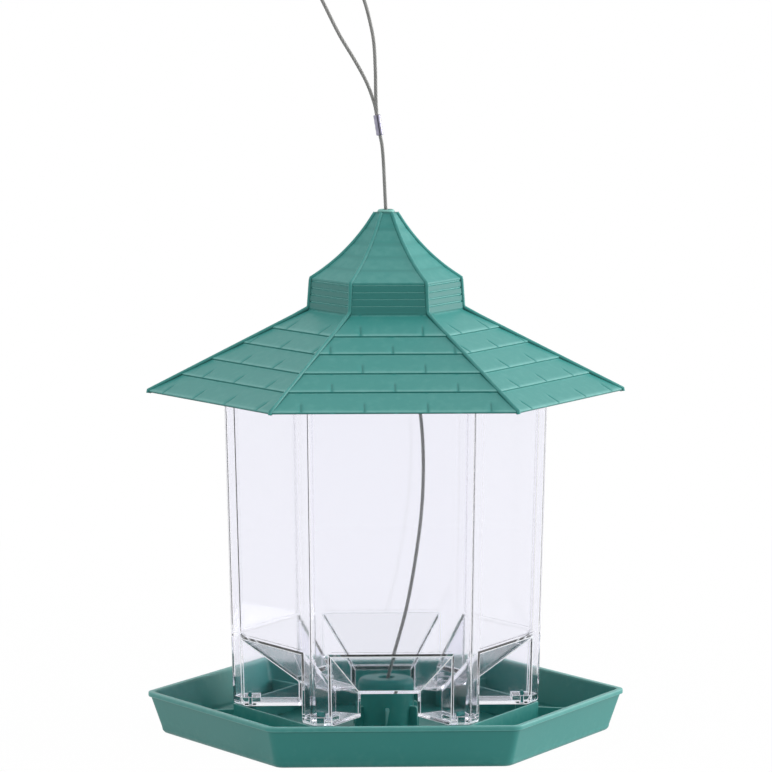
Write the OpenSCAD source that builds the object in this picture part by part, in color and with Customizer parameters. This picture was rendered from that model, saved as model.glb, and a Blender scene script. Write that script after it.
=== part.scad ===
// Hanging bird-seed feeder: a six-sided tray, a clear six-sided seed hopper
// and a gazebo roof that slides up a wire rope to let the seed in.
// Millimetres. The origin is the centre of the tray's flat bottom, +Z is up,
// and the six corners stand at 0, 60, 120 ... degrees round the Z axis.

/* [Tray] */
// Width across the tray's corners, over the rim
tray_w = 240; // [220:1:300]
// How much narrower the tray's bottom is than its rim, across corners
tray_taper = 14; // [4:1:24]
// Height from the bottom to the rim
tray_h = 21.1; // [20:0.1:34]
// Thickness of the tray's wall and floor
tray_wall = 1.8; // [1.4:0.1:3]
// Radius of the tray's upright corners
tray_corner = 5; // [4:0.5:8]
// Radius of the edge between the wall and the bottom
tray_edge = 3; // [2:0.5:3.5]
// How far the rim's lip stands out from the wall
lip_out = 1.5; // [0.5:0.1:3]
// Height of the rim's lip
lip_h = 2.4; // [1.5:0.1:4]
// Thickness of the ribs in the tray
rib_t = 1.2; // [1:0.1:2]
// Height of the outer ribs at the tray's corners
corner_rib_h = 10.5; // [6:0.5:12]

/* [Centre post] */
// Diameter of the post in the tray's middle
post_d = 28; // [24:1:34]
// Height of the post's top above the tray's bottom
post_h = 29; // [26:0.5:34]
// Thickness of the post's wall and top
post_wall = 2; // [1.5:0.1:3]
// Diameter of the rope's hole in the post's top
post_hole_d = 8.4; // [7:0.1:10]
// Radius of the post's top edge
post_edge = 3; // [2:0.5:4]
// How far the post's gussets stand out from it
gusset_out = 4; // [3:0.5:8]
// Thickness of the post's gussets
gusset_t = 2; // [1.5:0.1:3]

/* [Hopper] */
// Width across the hopper's corners at its feet
foot_w = 154; // [140:1:170]
// Width across the hopper's corners at its open top
top_w = 163.2; // [155:0.2:180]
// Height of the hopper, from its feet to its top
hopper_h = 174.4; // [140:0.2:220]
// Height of the ledge that the feet stand on, above the tray's bottom
foot_z = 14.6; // [12:0.1:17]
// Thickness of the hopper's wall
hopper_wall = 2; // [1.6:0.1:3]
// Radius of the hopper's upright corners
hopper_corner = 3; // [2.5:0.5:6]
// Radius of the outside edge under the feet
foot_round = 2.4; // [1:0.1:3]
// Width of the plain flange on each side of a corner
flange_w = 9.5; // [7:0.5:14]
// How deep each panel is sunk between the flanges
panel_inset = 0.8; // [0.3:0.1:1]

/* [Feeding alcoves] */
// Distance from the axis to a port
port_at = 40.7; // [34:0.1:46]
// Width of a port
port_w = 28; // [20:1:32]
// Height of a port
port_h = 11.3; // [8:0.1:16]
// Height of an alcove's mouth
mouth_h = 33.5; // [26:0.5:44]
// Thickness of a leg's floor
leg_floor = 1.6; // [1.2:0.1:3]
// Height of the solid block at a leg's foot
foot_block_h = 4; // [3:0.5:6]
// Length of the solid block at a leg's foot
foot_block_len = 12; // [9:0.5:16]

/* [Snap tabs] */
// Width of a tab that holds a foot down
tab_w = 4.2; // [3:0.1:6]
// Thickness of a tab
tab_t = 1.4; // [1.2:0.1:2]
// How far a tab's barb juts out
barb = 0.7; // [0.4:0.1:1.2]
// Gap round a tab in its slot
tab_gap = 0.25; // [0.15:0.05:0.4]

/* [Roof] */
// Width across the roof's corners at the eave
roof_w = 236.8; // [215:0.2:280]
// Height of the skirt, from the eave to the cupola
skirt_h = 40.7; // [30:0.1:55]
// Width across the cupola's corners at its foot
cupola_w = 77.6; // [60:0.2:90]
// Width across the cupola's corners at its top
cupola_top_w = 74.8; // [58:0.2:88]
// Height of the cupola's wall
cupola_h = 15.1; // [8:0.1:24]
// Height of the curved spire
spire_h = 32.7; // [24:0.1:44]
// Radius of the spire's hollow curve
spire_bend = 94; // [60:1:200]
// Width across the corners at the spire's tip
tip_w = 10.8; // [10.6:0.1:14]
// Thickness of the roof
roof_wall = 1.8; // [1.4:0.1:2.4]
// Height of the roof's edge at the eave, where the wall thins out
eave_h = 0.9; // [0.6:0.1:1.6]
// Number of shingle courses on the skirt
courses = 5; // [3:1:8]
// How far a course stands over the one below
course_step = 0.6; // [0:0.1:1]
// Width of the ribs along the ridges
ridge_w = 1.8; // [1.2:0.1:3]
// Height of the ribs along the ridges
ridge_h = 0.9; // [0.5:0.1:2]
// Depth of the ring under the roof that keeps it over the hopper
locator_h = 7; // [4:0.5:12]

/* [Rope] */
// Diameter of the wire rope
rope_d = 1.8; // [1.5:0.1:2]
// Outside diameter of the bush in the spire's tip
bush_d = 7.6; // [7.4:0.1:8]
// Bore of the bush
bush_bore_d = 6.2; // [6:0.1:6.4]
// Diameter of the bush's collar
collar_d = 8.6; // [8.2:0.1:9]
// Height of the bush's collar
collar_h = 1.3; // [1:0.1:2]
// Length of the bush's sleeve below the collar
sleeve_h = 5; // [4:0.5:6]
// Diameter of the stop crimped on the rope's lower end
stop_d = 5; // [4:0.5:7]
// Length of that stop
stop_len = 9; // [6:0.5:10]
// Diameter of the washer over the stop
washer_d = 18; // [14:1:20]
// Thickness of the washer
washer_t = 1.2; // [1:0.1:2]
// Thickness of the crimped sleeve's wall round the two strands
sleeve_wall = 0.8; // [0.6:0.1:1.2]

/* [Fits] */
// Gap between the roof and the hopper's top
seat_gap = 0.2; // [0.1:0.05:0.5]
// Gap between the roof's ring and the hopper's inside, across a flat
locator_gap = 0.8; // [0.5:0.1:1.5]
// Gap round the rope in its stop, washer and sleeve
rope_gap = 0.1; // [0.05:0.05:0.15]
// Gap between the washer and the top of the post
swivel_gap = 0.1; // [0.05:0.05:0.2]

/* [Hidden] */
$fn = 48;
eps = 0.01;            // overlap where two pieces of one moulding meet
over = 1;              // how far a cut runs past the face that it opens
far = 400;             // larger than the whole feeder
face_ratio = cos(30);  // distance to a flat for each unit to a corner
corner_steps = 4;      // straight pieces in a rounded corner
faces = [30 : 60 : 330];
corners = [0 : 60 : 300];

// Hopper: corner radius of its outline at a height above the tray's bottom
foot_r = foot_w / 2;
top_r = top_w / 2;
rim_z = foot_z + hopper_h;
hopper_slope = (top_r - foot_r) / hopper_h;
hopper_inside = hopper_wall / face_ratio;
function hopper_r(z) = foot_r + (z - foot_z) * hopper_slope;

// Alcoves: the ceiling climbs from the port to the mouth, and the side walls
// run parallel to the radial line through the corner beside them
foot_apothem = foot_r * face_ratio;
ceiling_slope = (mouth_h - port_h) / (foot_apothem - port_at);
ceiling_lift = hopper_wall * sqrt(1 + ceiling_slope * ceiling_slope);
side_grow = hopper_wall / face_ratio;
leg_half = port_at * sin(30) - port_w / 2 * face_ratio;
foot_block_at = foot_r - hopper_wall - foot_block_len;
slot_at = foot_block_at + foot_block_len / 2 - 1;   // a little inward of the block's middle
panel_above = 3;          // plain band between an alcove's mouth and a panel
panel_below = 4;          // plain band over a panel

// Tray
rim_r = tray_w / 2;
wall_r = rim_r - lip_out;
bottom_r = rim_r - tray_taper / 2;
tray_inside = tray_wall / face_ratio;
lip_z = tray_h - lip_h;
rim_round = 0.6;
rib_fall = 1.5;           // how much a corner rib drops on its way out
post_foot_out = 3;        // flange round the post's foot
post_foot_h = 1.4;
gusset_clear = 0.4;       // gap between a gusset's top and the hopper's floor
barb_clear = 0.1;         // gap between a foot block and the barb over it
barb_h = 2;
post_r = post_d / 2;
post_hollow_r = post_r - post_wall;
post_ceiling = post_h - post_wall;

// Roof: the underside is the skirt moved down, and it rests on the hopper
eave_r = roof_w / 2;
cupola_r = cupola_w / 2;
cupola_top_r = cupola_top_w / 2;
tip_r = tip_w / 2;
skirt_slope = skirt_h / (eave_r - cupola_r);
skirt_drop = roof_wall * sqrt(1 + pow(skirt_slope / face_ratio, 2));
eave_z = rim_z + seat_gap + skirt_drop - (eave_r - top_r) * skirt_slope;
cupola_z = eave_z + skirt_h;
spire_z = cupola_z + cupola_h;
tip_z = spire_z + spire_h;
roof_inside = roof_wall / face_ratio;
spire_steps = 10;
eave_land = 0.4;          // flat left along the eave's lower edge
seat_r = top_r + 2;       // the roof's underside is its full thickness away as far out as this
locator_r = hopper_r(rim_z) - hopper_inside - locator_gap / face_ratio;

// The spire's corners follow an arc of radius spire_bend, hollow side out,
// from the cupola's top to the tip
spire_run = cupola_top_r - tip_r;
spire_chord = norm([spire_run, spire_h]);
spire_half_turn = asin(spire_chord / 2 / spire_bend);
spire_rise = atan2(spire_h, spire_run);
spire_first = spire_rise - spire_half_turn;
spire_turn = 2 * spire_half_turn;
function spire_dir(t) = spire_first + spire_turn * t;
function spire_in(t) = spire_bend * (sin(spire_dir(t)) - sin(spire_dir(0)));
function spire_up(t) = spire_bend * (cos(spire_dir(0)) - cos(spire_dir(t)));
spire_cavity_end = 0.72; // share of the arc below the solid tip
spire_wall = 1.7 * roof_wall; // measured level, so a sloping wall is still thick enough

// Route of the wire rope, from its stop in the post, through the hopper and
// the roof, up through the crimped sleeve, round the loop and back into it
rope_route = [
  [0.8, 0, 15], [0.8, 0, 21], [0.8, 0, 27], [1.5, 0, 31], [4.4, 0, 41],
  [7.4, 0, 51.5], [10.3, 0, 63], [13.2, 0, 78], [15.4, 0, 92], [17.2, 0, 106],
  [18.3, 0, 120], [18.6, 0, 134], [18.2, 0, 148], [17, 0, 161], [14.6, 0, 177],
  [11.4, 0, 194], [7.9, 0, 212], [4.4, 0, 231], [1.5, 0, 248], [0, 0, 261],
  [-0.7, 0, 274], [-1.3, -0.1, 286], [-2, -0.5, 294], [-3, -1, 299],
  [-3.8, -1, 304], [-4.6, -1, 309], [-5.1, -1, 319], [-5.3, -1, 331],
  [-6.1, -0.9, 345], [-8.2, -0.8, 356], [-11, -0.7, 366], [-15, -0.5, 376],
  [-20, -0.3, 386], [-26, -0.1, 394], [-32.5, 0, 397.5], [-38, 0.2, 394.5],
  [-40.2, 0.3, 387], [-37.8, 0.5, 377], [-31.8, 0.6, 366], [-23.3, 0.7, 349],
  [-15.8, 0.8, 336.5], [-9.8, 0.9, 325.5], [-6, 1, 315.5], [-4.6, 1, 309],
  [-3.8, 1, 304], [-3.1, 1, 299.6]];
rope_steps = 2;   // rings for each stretch of the route
rope_sides = 8;
sleeve_low = rope_route[23];
sleeve_high = rope_route[25];
anchor_x = rope_route[0][0];

// A hexagon of corner radius r with corners rounded to c, at height z
function hexagon(r, c, z, steps = corner_steps) = [
  for (k = [0 : 5], j = [0 : steps])
    let (d = 60 * k, a = d - 30 + 60 * j / steps, m = r - c / face_ratio)
      [m * cos(d) + c * cos(a), m * sin(d) + c * sin(a), z]];

// A sharp hexagon of corner radius r with a rib w wide and h high on each corner
function ribbed_hexagon(r, w, h, z) = [
  for (k = [0 : 5], p = [[r - w / 2 * tan(30), -w / 2], [r + h, -w / 2],
                         [r + h, w / 2], [r - w / 2 * tan(30), w / 2]])
    [p.x * cos(60 * k) - p.y * sin(60 * k), p.x * sin(60 * k) + p.y * cos(60 * k), z]];

// Solid through a stack of outlines that all have the same number of points.
// A closed stack returns to its first outline, so it makes a shell with a hole.
module loft(rings, closed = false) {
  n = len(rings[0]);
  m = len(rings);
  sides = [
    for (i = [0 : closed ? m - 1 : m - 2], j = [0 : n - 1], half = [0, 1])
      let (a = i * n + j, b = i * n + (j + 1) % n,
           c = (i + 1) % m * n + j, d = (i + 1) % m * n + (j + 1) % n)
        half == 0 ? [a, c, d] : [a, d, b]];
  caps = closed ? [] : [[for (j = [0 : n - 1]) j], [for (j = [n - 1 : -1 : 0]) (m - 1) * n + j]];
  polyhedron(points = [for (r = rings) each r], faces = concat(sides, caps));
}

// Point on a smooth curve through the route, a share t past point i
function between(p, i, t) =
  let (a = p[max(i - 1, 0)], b = p[i], c = p[i + 1], d = p[min(i + 2, len(p) - 1)])
    ((2 * b) + (c - a) * t + (2 * a - 5 * b + 4 * c - d) * t * t
     + (3 * b - a - 3 * c + d) * t * t * t) / 2;
function smooth(p, n) = concat(
  [for (i = [0 : len(p) - 2], j = [0 : n - 1]) between(p, i, j / n)], [p[len(p) - 1]]);

// Ring of points round the line at place i, square to it. The route stays near
// the XZ plane, so the Y axis gives every ring the same start.
function unit(v) = v / norm(v);
function rope_ring(line, i, r) =
  let (t = unit(line[min(i + 1, len(line) - 1)] - line[max(i - 1, 0)]),
       u = unit([0, 1, 0] - t.y * t), v = cross(t, u))
    [for (k = [0 : rope_sides - 1])
      line[i] + r * (cos(360 * k / rope_sides) * u + sin(360 * k / rope_sides) * v)];

// ---- tray: dish, ribs, centre post and the tabs that hold the hopper down ----
module tray_dish() {
  e = tray_edge;
  outer = concat(
    [for (a = [0, 30, 60, 90])
      hexagon(bottom_r - e + e * sin(a), tray_corner, e - e * cos(a))],
    [hexagon(wall_r, tray_corner, lip_z), hexagon(rim_r, tray_corner + lip_out, lip_z + eps),
     hexagon(rim_r, tray_corner + lip_out, tray_h - rim_round),
     hexagon(rim_r - rim_round, tray_corner + lip_out - rim_round, tray_h)]);
  inner_low = bottom_r - tray_inside;
  inner_top = wall_r - tray_inside;
  inner = [
    hexagon(inner_low - e, tray_corner, tray_wall),
    hexagon(inner_low - e * (1 - cos(45)), tray_corner, tray_wall + e * (1 - cos(45))),
    hexagon(inner_low, tray_corner, tray_wall + e),
    hexagon(inner_top, tray_corner, tray_h + eps)];
  difference() {
    loft(outer);
    loft(inner);
    translate([0, 0, -eps]) cylinder(r = post_hollow_r, h = tray_wall + 2 * eps);
  }
}

// Thin wall round the seed well, under the hopper's outer wall
module well_wall() {
  translate([0, 0, tray_wall - eps])
    difference() {
      linear_extrude(foot_z - tray_wall + eps)
        polygon([for (p = hexagon(foot_r, hopper_corner, 0)) [p.x, p.y]]);
      translate([0, 0, -over])
        linear_extrude(foot_z + 2 * over)
          polygon([for (p = hexagon(foot_r - rib_t / face_ratio, hopper_corner, 0)) [p.x, p.y]]);
    }
}

// Rib from the well out to the tray's corner, with a top that slopes down
module corner_rib() {
  start = foot_r - rib_t;
  end = bottom_r - tray_inside - 1;
  rotate([90, 0, 0])
    translate([0, 0, -rib_t / 2])
      linear_extrude(rib_t)
        polygon([[start, tray_wall - eps], [end, tray_wall + tray_edge],
                 [end + 1, corner_rib_h], [start, corner_rib_h + rib_fall]]);
}

module post() {
  e = post_edge;
  arc = [for (a = [0 : 15 : 90]) [post_r - e + e * cos(a), post_h - e + e * sin(a)]];
  rotate_extrude()
    polygon(concat(
      [[post_hollow_r, 0], [post_r + post_foot_out, tray_wall - eps],
       [post_r + post_foot_out, tray_wall + post_foot_h], [post_r, tray_wall + post_foot_h]],
      arc,
      [[post_hole_d / 2, post_h], [post_hole_d / 2, post_ceiling],
       [post_hollow_r, post_ceiling]]));
}

module gusset() {
  translate([post_r - over, -gusset_t / 2, tray_wall - eps])
    cube([gusset_out + over, gusset_t, foot_z - gusset_clear - tray_wall]);
}

// Pedestal under a foot, and the barbed tab that reaches through the foot's slot
module snap_tab() {
  pedestal_w = 2 * tab_w;
  pedestal_len = foot_block_len / 2;
  block_top = foot_z + foot_block_h;
  translate([slot_at - pedestal_len / 2, -pedestal_w / 2, tray_wall - eps])
    cube([pedestal_len, pedestal_w, foot_z - tray_wall + eps]);
  rotate([90, 0, 0])
    translate([0, 0, -tab_w / 2])
      linear_extrude(tab_w)
        polygon([[slot_at - tab_t / 2, foot_z - over], [slot_at + tab_t / 2, foot_z - over],
                 [slot_at + tab_t / 2, block_top + barb_clear],
                 [slot_at + tab_t / 2 + barb, block_top + barb_clear],
                 [slot_at + tab_t / 2, block_top + barb_h],
                 [slot_at - tab_t / 2, block_top + barb_h]]);
}

module tray() color([0.3, 0.56, 0.52]) {
  tray_dish();
  well_wall();
  post();
  for (a = corners) rotate(a) corner_rib();
  for (a = corners) rotate(a) snap_tab();
  for (a = faces) rotate(a) gusset();
}

// ---- hopper: one clear moulding, open at the top and at its six ports ----
// Space under an alcove's ceiling, with its walls and ceiling moved out
module alcove(side, lift) {
  reach = 2 * top_r;
  function half(x) = port_w / 2 + (x - port_at) * tan(30) + side;
  function ceiling(x) = foot_z + port_h + (x - port_at) * ceiling_slope + lift;
  intersection() {
    translate([0, 0, -over])
      linear_extrude(far)
        polygon([[port_at, -half(port_at)], [reach, -half(reach)],
                 [reach, half(reach)], [port_at, half(port_at)]]);
    rotate([90, 0, 0])
      translate([0, 0, -top_r])
        linear_extrude(2 * top_r)
          polygon([[port_at, foot_z - over], [reach, foot_z - over],
                   [reach, ceiling(reach)], [port_at, ceiling(port_at)]]);
  }
}

// Room for seed: the inside of the shell, less the alcoves and the leg floors
module seed_room() {
  low = foot_z + leg_floor;
  c = hopper_corner - 1;
  ring_r = norm([port_at, port_w / 2]);
  ring_a = atan2(port_w / 2, port_at);
  difference() {
    union() {
      loft([hexagon(hopper_r(low) - hopper_inside, c, low),
            hexagon(hopper_r(rim_z + over) - hopper_inside, c, rim_z + over)]);
      translate([0, 0, foot_z - over])
        linear_extrude(leg_floor + over + eps)
          polygon([for (a = faces, s = [-1, 1])
            ring_r * [cos(a + s * ring_a), sin(a + s * ring_a)]]);
    }
    for (a = faces) rotate(a) alcove(side_grow, ceiling_lift);
    for (a = corners)
      rotate(a)
        translate([foot_block_at, -leg_half - over, foot_z])
          cube([foot_r, 2 * (leg_half + over), foot_block_h]);
  }
}

// Shallow field on the outside of a face, between the corner flanges
module panel_cut() {
  low = foot_z + mouth_h + panel_above;
  high = rim_z - panel_below;
  lean = atan(hopper_slope * face_ratio);
  function half(z) = hopper_r(z) / 2 - flange_w;
  translate([hopper_r(low) * face_ratio - panel_inset, 0, low])
    rotate([0, lean, 0])
      rotate([90, 0, 90])
        linear_extrude(foot_r)
          polygon([[-half(low), 0], [half(low), 0],
                   [half(high), high - low], [-half(high), high - low]]);
}

// Window from the seed room into an alcove. It starts inside the seed room,
// so no face is left between the two.
module port()
  translate([port_at - over, -port_w / 2, foot_z - over])
    cube([2 * over, port_w, port_h + over]);

module foot_slot() {
  translate([slot_at - tab_t / 2 - tab_gap, -tab_w / 2 - tab_gap, foot_z - over])
    cube([tab_t + 2 * tab_gap, tab_w + 2 * tab_gap, foot_block_h + 2 * over]);
}

module hopper() color([0.82, 0.85, 0.93, 0.35])
  difference() {
    loft(concat(
      [for (a = [0 : 30 : 90])
        hexagon(hopper_r(foot_z + foot_round) - foot_round * (1 - sin(a)), hopper_corner,
                foot_z + foot_round * (1 - cos(a)))],
      [hexagon(top_r, hopper_corner, rim_z)]));
    seed_room();
    for (a = faces) rotate(a) alcove(0, 0);
    for (a = faces) rotate(a) port();
    for (a = faces) rotate(a) panel_cut();
    for (a = corners) rotate(a) foot_slot();
  }

// ---- roof: skirt, cupola and spire in one shell, with ribs on its ridges ----
// Outlines up the outside, from the eave's lower edge to the spire's tip
function roof_outside() =
  let (run = (eave_r - cupola_r) / courses, rise = skirt_h / courses,
       skirt = [for (i = [0 : courses - 1], top = [0, 1])
         [eave_r - run * (i + top) - course_step * top,
          eave_z + rise * (i + top) - course_step * top]],
       spire = [for (t = [1 : spire_steps])
         [cupola_top_r - spire_in(t / spire_steps), spire_z + spire_up(t / spire_steps)]])
  [for (p = concat([[eave_r, eave_z - eave_h]], skirt,
                   [[cupola_r, cupola_z], [cupola_top_r, spire_z]], spire))
    ribbed_hexagon(p[0], ridge_w, ridge_h, p[1])];

// Outlines down the inside, round the ring that stands down inside the hopper,
// to the eave. The solid tip is bored for the bush afterwards.
function roof_underside(r) = rim_z + seat_gap + (top_r - r) * skirt_slope;
function roof_within() =
  let (pilot = bush_d / 3, last = spire_cavity_end,
       cavity = [for (t = [last : -last / 5 : last / 10])
         [cupola_top_r - spire_in(t) - spire_wall, spire_z + spire_up(t)]],
       under = [for (r = [cupola_r - roof_inside, locator_r - roof_inside])
         [r, roof_underside(r)]],
       ring = [[locator_r - roof_inside, rim_z - locator_h], [locator_r, rim_z - locator_h],
               [locator_r, roof_underside(locator_r)]])
  [for (p = concat([[pilot, tip_z], [pilot, spire_z + spire_up(last)]], cavity,
                   [[cupola_top_r - roof_inside, spire_z - roof_wall / 2]], under, ring,
                   [[seat_r, roof_underside(seat_r)], [eave_r - eave_land, eave_z - eave_h]]))
    hexagon(p[0], 1, p[1], steps = 3)];

module roof() color([0.33, 0.63, 0.58])
  difference() {
    loft(concat(roof_outside(), roof_within()), closed = true);
    translate([0, 0, spire_z]) cylinder(d = bush_d, h = spire_h + over);
  }

module roof_bush() color([0.62, 0.78, 0.74])
  difference() {
    union() {
      translate([0, 0, tip_z - sleeve_h]) cylinder(d = bush_d, h = sleeve_h);
      translate([0, 0, tip_z]) cylinder(d = collar_d, h = collar_h / 2);
      translate([0, 0, tip_z + collar_h / 2])
        cylinder(d1 = collar_d, d2 = collar_d - collar_h, h = collar_h / 2);
    }
    translate([0, 0, tip_z - sleeve_h - over])
      cylinder(d = bush_bore_d, h = sleeve_h + collar_h + 2 * over);
  }

// ---- rope and what is crimped on it ----
module cable() color([0.5, 0.5, 0.48]) {
  line = smooth(rope_route, rope_steps);
  loft([for (i = [0 : len(line) - 1]) rope_ring(line, i, rope_d / 2)]);
}

// Oval sleeve crimped round both strands under the loop
module loop_ferrule() color([0.72, 0.72, 0.77]) {
  along = sleeve_high - sleeve_low;
  strand_y = abs(sleeve_low.y);
  bore = rope_d + 2 * rope_gap;
  outside = bore + 2 * sleeve_wall;
  translate([sleeve_low.x, 0, sleeve_low.z])
    rotate([0, atan2(along.x, along.z), 0])
      difference() {
        linear_extrude(norm(along))
          union() {
            translate([0, -strand_y]) circle(d = outside);
            translate([0, strand_y]) circle(d = outside);
            square([outside, 2 * strand_y], center = true);
          }
        translate([0, 0, -over])
          linear_extrude(norm(along) + 2 * over)
            union() {
              translate([0, -strand_y]) circle(d = bore);
              translate([0, strand_y]) circle(d = bore);
              square([bore, 2 * strand_y], center = true);
            }
      }
}

washer_top = post_ceiling - swivel_gap;
module anchor_washer() color([0.75, 0.75, 0.74])
  translate([anchor_x, 0, washer_top - washer_t])
    difference() {
      cylinder(d = washer_d, h = washer_t);
      translate([0, 0, -over]) cylinder(d = rope_d + 2 * rope_gap, h = washer_t + 2 * over);
    }

module anchor_ferrule() color([0.72, 0.72, 0.77])
  translate([anchor_x, 0, washer_top - washer_t - stop_len])
    difference() {
      cylinder(d = stop_d, h = stop_len);
      translate([0, 0, -over]) cylinder(d = rope_d + 2 * rope_gap, h = stop_len + 2 * over);
    }

tray();
hopper();
roof();
roof_bush();
cable();
loop_ferrule();
anchor_ferrule();
anchor_washer();
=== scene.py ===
import math
import bmesh
import bpy
import numpy as np
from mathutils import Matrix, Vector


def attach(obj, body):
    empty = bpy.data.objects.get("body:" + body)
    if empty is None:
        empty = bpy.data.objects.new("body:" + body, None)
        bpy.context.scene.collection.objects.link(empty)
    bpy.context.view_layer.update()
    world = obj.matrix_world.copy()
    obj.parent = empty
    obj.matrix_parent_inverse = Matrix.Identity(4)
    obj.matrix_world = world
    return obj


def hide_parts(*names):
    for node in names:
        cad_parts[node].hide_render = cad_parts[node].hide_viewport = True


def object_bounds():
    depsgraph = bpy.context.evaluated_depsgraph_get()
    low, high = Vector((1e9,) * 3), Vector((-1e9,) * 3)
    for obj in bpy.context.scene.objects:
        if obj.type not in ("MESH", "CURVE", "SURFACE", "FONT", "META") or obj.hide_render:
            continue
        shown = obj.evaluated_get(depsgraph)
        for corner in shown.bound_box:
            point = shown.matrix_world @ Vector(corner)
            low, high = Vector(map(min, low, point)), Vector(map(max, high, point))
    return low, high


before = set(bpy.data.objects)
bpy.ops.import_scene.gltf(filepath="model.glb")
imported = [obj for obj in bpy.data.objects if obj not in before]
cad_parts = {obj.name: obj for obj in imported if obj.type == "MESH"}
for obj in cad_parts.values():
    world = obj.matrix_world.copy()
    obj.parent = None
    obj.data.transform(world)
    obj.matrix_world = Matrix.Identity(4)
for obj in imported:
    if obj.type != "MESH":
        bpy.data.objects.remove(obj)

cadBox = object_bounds()
print("frame loaded:", ", ".join(sorted(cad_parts)))

mm = 0.001
flatRatio = math.cos(math.radians(30))   # distance to a hexagon's flat for each unit to its corner
scene = bpy.context.scene
scene.view_settings.view_transform = "Standard"


# Quads of a grid that closes on itself across: face (i, j) joins points (i, j),
# (i, j+1), (i+1, j+1) and (i+1, j). loop joins the last row to the first too.
def gridFaces(rows, cols, loop):
    i = np.arange(rows if loop else rows - 1)[:, None]
    j = np.arange(cols)[None, :]
    ni = (i + 1) % rows
    nj = (j + 1) % cols
    return np.stack([i * cols + j, i * cols + nj, ni * cols + nj, ni * cols + j], axis=-1).reshape(-1, 4)


# A stack of rings, shape (rows, cols, 3) in millimetres, as (points, arrays of faces).
# loop makes a ring-shaped solid, and otherwise the two ends are closed with flat caps.
def loft(rings, loop=False):
    rings = np.asarray(rings, float)
    rows, cols = rings.shape[:2]
    faces = [gridFaces(rows, cols, loop)]
    if not loop:
        first = np.arange(cols)[None, :]
        faces += [first[:, ::-1], first + (rows - 1) * cols]
    return rings.reshape(-1, 3), faces


# Points turned about Z: x' = x cos a - y sin a, y' = x sin a + y cos a
def turned(points, degrees):
    a = math.radians(degrees)
    c, s = math.cos(a), math.sin(a)
    return np.asarray(points) @ np.array([[c, s, 0], [-s, c, 0], [0, 0, 1]])


# Six copies of a part, a sixth of a turn apart
def sixTimes(part, first=0):
    points, faces = part
    return [(turned(points, first + 60 * k), faces) for k in range(6)]


# Surface of revolution: point (r cos a, r sin a, z) for each profile point and angle,
# with the profile closed on itself. A closed profile runs up outside and down inside.
def lathe(profile, sides, centre=(0, 0)):
    p = np.asarray(profile, float)
    a = np.arange(sides) * 2 * math.pi / sides
    r = p[:, :1]
    rings = np.stack([centre[0] + r * np.cos(a), centre[1] + r * np.sin(a),
                      np.broadcast_to(p[:, 1:2], (len(p), sides))], axis=-1)
    return loft(rings, loop=True)


# Arc in a profile: centre + radius (cos a, sin a), a from start to end degrees
def arc(x, z, radius, start, end, steps=6):
    a = np.radians(np.linspace(start, end, steps + 1))
    return np.stack([x + radius * np.cos(a), z + radius * np.sin(a)], axis=-1).tolist()


# Hexagon of corner radius r with corners rounded to c: on corner d, the points are
# (r - c / cos 30) (cos d, sin d) + c (cos a, sin a), a from d - 30 to d + 30, and
# one more point on each side of the corner keeps the flats flat when shaded.
def hexRing(r, c, z, steps=6, guard=0.8):
    d = np.radians(60 * np.arange(6))[:, None]
    a = d + np.radians(np.linspace(-30, 30, steps + 1))[None, :]
    m = r - c / flatRatio
    x = m * np.cos(d) + c * np.cos(a)
    y = m * np.sin(d) + c * np.sin(a)
    before, after = a[:, :1] - math.pi / 2, a[:, -1:] + math.pi / 2
    x = np.concatenate([x[:, :1] + guard * np.cos(before), x, x[:, -1:] + guard * np.cos(after)], axis=1)
    y = np.concatenate([y[:, :1] + guard * np.sin(before), y, y[:, -1:] + guard * np.sin(after)], axis=1)
    return np.stack([x.ravel(), y.ravel(), np.full(x.size, float(z))], axis=-1)


# Circle with its points at the same directions as those of a hexagon's ring
def roundRing(r, z, like):
    a = np.arctan2(like[:, 1], like[:, 0])
    return np.stack([r * np.cos(a), r * np.sin(a), np.full(len(a), float(z))], axis=-1)


# Upright bar along X: at each x the outline runs up one side, over a rounded top
# and down the other. low and high give its foot and its top there. Its tone paints a
# highlight along the top.
def bar(x, low, high, thickness, roundness):
    x, low, high = np.broadcast_arrays(*(np.asarray(v, float) for v in (x, low, high)))
    h = thickness / 2
    e = min(roundness, h)
    a = np.radians(np.linspace(0, 90, 5))
    y = np.concatenate([[h], h - e + e * np.cos(a), -(h - e + e * np.cos(a[::-1])), [-h]])
    drop = np.concatenate([e * (1 - np.sin(a)), e * (1 - np.sin(a[::-1]))])
    z = np.concatenate([low[:, None], high[:, None] - drop[None, :], low[:, None]], axis=1)
    rings = np.stack([*np.broadcast_arrays(x[:, None], y[None, :]), z], axis=-1)
    tone = np.broadcast_to(np.concatenate([[0, 0], np.ones(len(y) - 4), [0, 0]]), z.shape)
    return loft(rings), tone


# Outline in the XZ plane, anticlockwise seen from -Y, given a width along Y
def slab(outline, width):
    p = np.asarray(outline, float)
    ring = np.stack([p[:, 0], np.zeros(len(p)), p[:, 1]], axis=-1)
    shift = np.array([0, width / 2, 0])
    return loft([ring + shift, ring - shift])


# Edges of a finished piece rounded by width millimetres
def softenEdges(piece, width):
    soft = piece.modifiers.new("softEdges", "BEVEL")
    soft.width = width * mm
    soft.segments = 2
    return soft
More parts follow.
